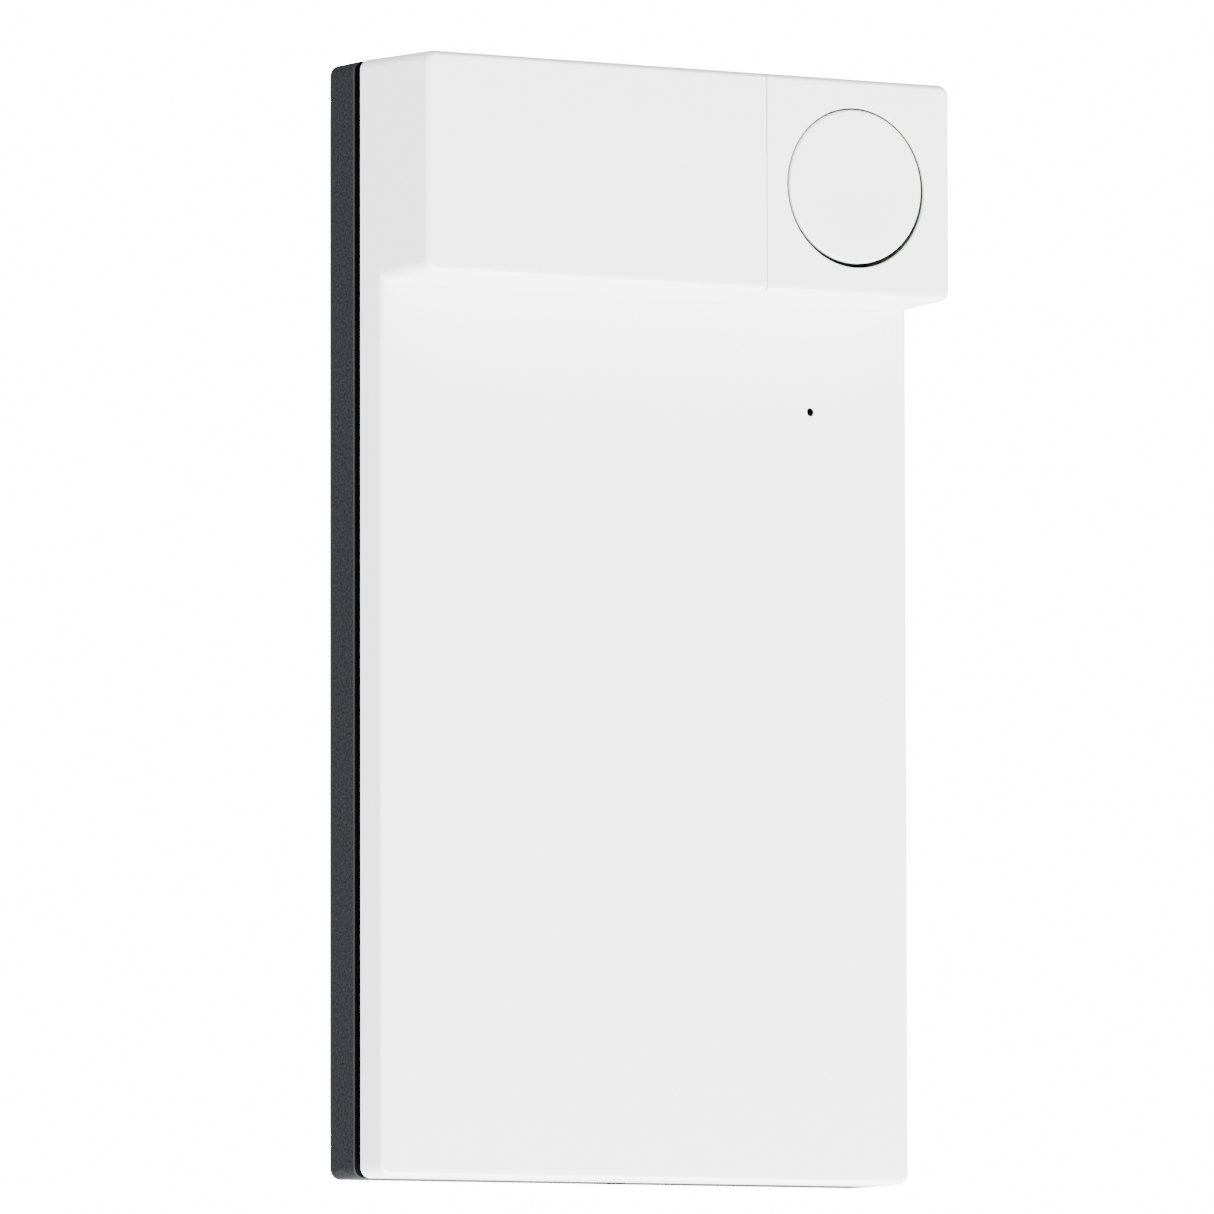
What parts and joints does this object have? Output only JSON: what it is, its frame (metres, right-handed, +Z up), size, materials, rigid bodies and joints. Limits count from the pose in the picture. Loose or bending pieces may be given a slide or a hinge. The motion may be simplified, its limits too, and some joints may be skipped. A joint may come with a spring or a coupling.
{
  "type": "wall door station",
  "caption": "Wall-mounted doorbell station with a raised white head, a round rocker call button, a microphone hole and a dark rear housing on a wall plate.",
  "frame": {"origin": "centre of the wall plate's back face, on the wall", "axes": "+Y into the wall, so the front faces -Y; +X to the right seen from the front; +Z up"},
  "size_m": [0.1, 0.0318, 0.1806],
  "materials": {
    "white_plastic": "fine satin moulding",
    "anthracite_plastic": "fine-grained",
    "wall_plate_plastic": "fine-grained",
    "black_rubber": "matt",
    "light_guide": "milky, translucent",
    "circuit_board": "solder mask",
    "black_plastic": "matt moulding",
    "plated_steel": "zinc plated",
    "aluminium_can": "drawn",
    "green_plastic": "moulded",
    "paper_cone": "pressed paper",
    "lead_sleeve": "soft sleeve"
  },
  "bodies": {
    "housing": {"wall_plate": "wall_plate_plastic", "rear_housing": "anthracite_plastic", "lock_screw": "plated_steel", "housing_seal": "black_rubber", "cable_grommet": "black_rubber", "case_screw_1": "plated_steel", "case_screw_2": "plated_steel", "case_screw_3": "plated_steel", "case_screw_4": "plated_steel", "main_board": "circuit_board", "board_screw_1": "plated_steel", "board_screw_2": "plated_steel", "board_screw_3": "plated_steel", "board_screw_4": "plated_steel", "switch_body": "black_plastic", "lamp_1": "white_plastic", "lamp_2": "white_plastic", "microphone": "aluminium_can", "microphone_boot": "black_rubber", "terminal_block": "green_plastic", "terminal_screw_1": "plated_steel", "terminal_screw_2": "plated_steel", "terminal_screw_3": "plated_steel", "terminal_screw_4": "plated_steel", "door_relay": "black_plastic", "capacitor_1": "aluminium_can", "capacitor_2": "aluminium_can", "power_coil": "black_plastic", "processor_shield": "plated_steel", "audio_chip": "black_plastic", "speaker_basket": "plated_steel", "speaker_screw_1": "plated_steel", "speaker_screw_2": "plated_steel", "speaker_magnet": "black_plastic", "speaker_gasket": "black_rubber", "speaker_socket": "white_plastic", "speaker_lead": "lead_sleeve"},
    "cover": {"front_cover": "white_plastic", "button_block": "white_plastic", "hinge_pin": "plated_steel", "light_ring": "light_guide", "block_screw_1": "plated_steel", "block_screw_2": "plated_steel", "return_spring": "plated_steel"},
    "button": {"button_cap": "white_plastic", "stem_clip": "plated_steel"},
    "plunger": {"switch_plunger": "white_plastic"},
    "cone": {"speaker_cone": "paper_cone"}
  },
  "joints": [
    {"name": "cover_slide", "type": "slide", "parent": "housing", "child": "cover", "axis": [0, -1, 0], "range_m": [0, 0.06]},
    {"name": "button_press", "type": "hinge", "parent": "cover", "child": "button", "pos_m": [0.0313, -0.02705, 0.0843], "axis": [1, 0, 0], "range_deg": [0, 2.3], "stiffness_Nm_per_rad": 0.6, "springref_deg": -1.15, "deforming": ["return_spring"]},
    {"name": "plunger_press", "type": "slide", "parent": "housing", "child": "plunger", "axis": [0, 1, 0], "range_m": [0, 0.0006]},
    {"name": "cone_travel", "type": "slide", "parent": "housing", "child": "cone", "axis": [0, 1, 0], "range_m": [-0.0003, 0.0003], "stiffness_N_per_m": 300}
  ],
  "couplings": [
    {"joint": "plunger_press", "follows": "button_press", "m_per_rad": 0.0122}
  ]
}
